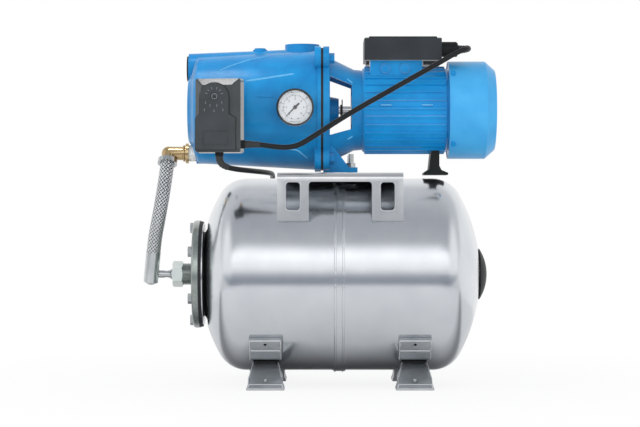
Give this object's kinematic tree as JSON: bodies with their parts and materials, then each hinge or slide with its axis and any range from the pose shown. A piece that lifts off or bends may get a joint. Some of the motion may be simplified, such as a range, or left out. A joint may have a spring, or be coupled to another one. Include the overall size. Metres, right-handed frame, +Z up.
{
  "type": "booster pump set",
  "caption": "Jet pump and finned motor on a lying stainless pressure tank, with gauge, pressure switch, braided hose and mains cord.",
  "frame": {"origin": "on the floor, in the middle between the four feet", "axes": "+X along the pump towards the motor, +Z up, -Y the side with the gauge and the switch"},
  "size_m": [0.5099, 0.3442, 0.5015],
  "materials": {
    "stainless_sheet": "brushed",
    "galvanised_flange": "zinc plated",
    "zinc_fasteners": "zinc plated",
    "zinc_union_nut": "zinc plated",
    "hose_steel": "polished",
    "braid": "braided",
    "blue_cast_iron": "satin",
    "blue_aluminium": "satin",
    "blue_sheet": "satin",
    "black_polymer": "matt",
    "box_polymer": "matt",
    "switch_polymer": "satin",
    "epdm_rubber": "matt",
    "cable_sheath": "matt",
    "elbow_brass": "satin",
    "machined_brass": "satin",
    "taped_thread": "matt",
    "shaft_steel": "machined",
    "bearing_steel": "machined",
    "impeller_polymer": "moulded",
    "ceramic": "ground",
    "laminations": "machined",
    "winding": "varnished",
    "fan_polymer": "moulded",
    "contact_polymer": "moulded",
    "spring_steel": "machined",
    "capacitor_can": "drawn",
    "gauge_black": "satin",
    "gauge_dial": "matt",
    "gauge_glass": "clear",
    "needle_black": "matt",
    "plug_polymer": "moulded"
  },
  "bodies": {
    "frame": {"tank_shell_left": "stainless_sheet", "tank_shell_right": "stainless_sheet", "tank_flange": "galvanised_flange", "membrane": "epdm_rubber", "neck_cover": "black_polymer", "flange_bolts": "zinc_fasteners", "air_valve_stem": "machined_brass", "air_valve_cap": "black_polymer", "top_bracket": "stainless_sheet", "feet": "stainless_sheet", "pump_casing": "blue_cast_iron", "casing_gasket": "epdm_rubber", "suction_port_ring": "epdm_rubber", "motor_bracket": "blue_cast_iron", "pump_bolts": "zinc_fasteners", "diffuser": "impeller_polymer", "seal_seat": "ceramic", "ball_bearings": "bearing_steel", "stator": "winding", "motor_housing": "blue_aluminium", "end_shield": "blue_aluminium", "motor_screws": "zinc_fasteners", "fan_cover": "blue_sheet", "terminal_box": "box_polymer", "terminal_box_lid": "box_polymer", "terminal_block": "contact_polymer", "capacitor": "capacitor_can", "cable_glands": "black_polymer", "motor_foot": "black_polymer", "switch_nipple": "machined_brass", "switch_base": "zinc_fasteners", "switch_spring": "spring_steel", "contact_block": "contact_polymer", "switch_cover": "switch_polymer", "cover_nut": "switch_polymer", "gauge_stem": "machined_brass", "gauge_case": "gauge_black", "gauge_dial": "gauge_dial", "gauge_glass": "gauge_glass", "gauge_bezel": "gauge_black", "port_nipple": "taped_thread", "braided_hose": "braid", "hose_fittings": "hose_steel", "brass_elbow": "elbow_brass", "union_nut": "zinc_union_nut", "priming_plug": "blue_cast_iron", "motor_cable": "cable_sheath", "mains_cord": "cable_sheath", "mains_hank": "cable_sheath", "mains_plug": "plug_polymer"},
    "rotor": {"shaft": "shaft_steel", "rotor_core": "laminations", "impeller": "impeller_polymer", "impeller_nut": "machined_brass", "seal_ring": "spring_steel", "slinger": "epdm_rubber", "fan": "fan_polymer"},
    "needle": {"gauge_needle": "needle_black"},
    "plunger": {"switch_plunger": "spring_steel"},
    "valve_core": {"air_valve_core": "machined_brass"}
  },
  "joints": [
    {"name": "rotor_spin", "type": "hinge", "parent": "frame", "child": "rotor", "pos_m": [0, 0, 0.3973], "axis": [1, 0, 0], "continuous": true},
    {"name": "gauge_needle", "type": "hinge", "parent": "frame", "child": "needle", "pos_m": [-0.063, -0.09, 0.3958], "axis": [0, 1, 0], "range_deg": [0, 270], "stiffness_Nm_per_rad": 0.00002},
    {"name": "switch_travel", "type": "slide", "parent": "frame", "child": "plunger", "axis": [-0.1219, -0.9925, 0], "range_m": [0, 0.0015], "stiffness_N_per_m": 2000},
    {"name": "valve_push", "type": "slide", "parent": "frame", "child": "valve_core", "axis": [-1, 0, 0], "range_m": [0, 0.0012], "stiffness_N_per_m": 400}
  ]
}
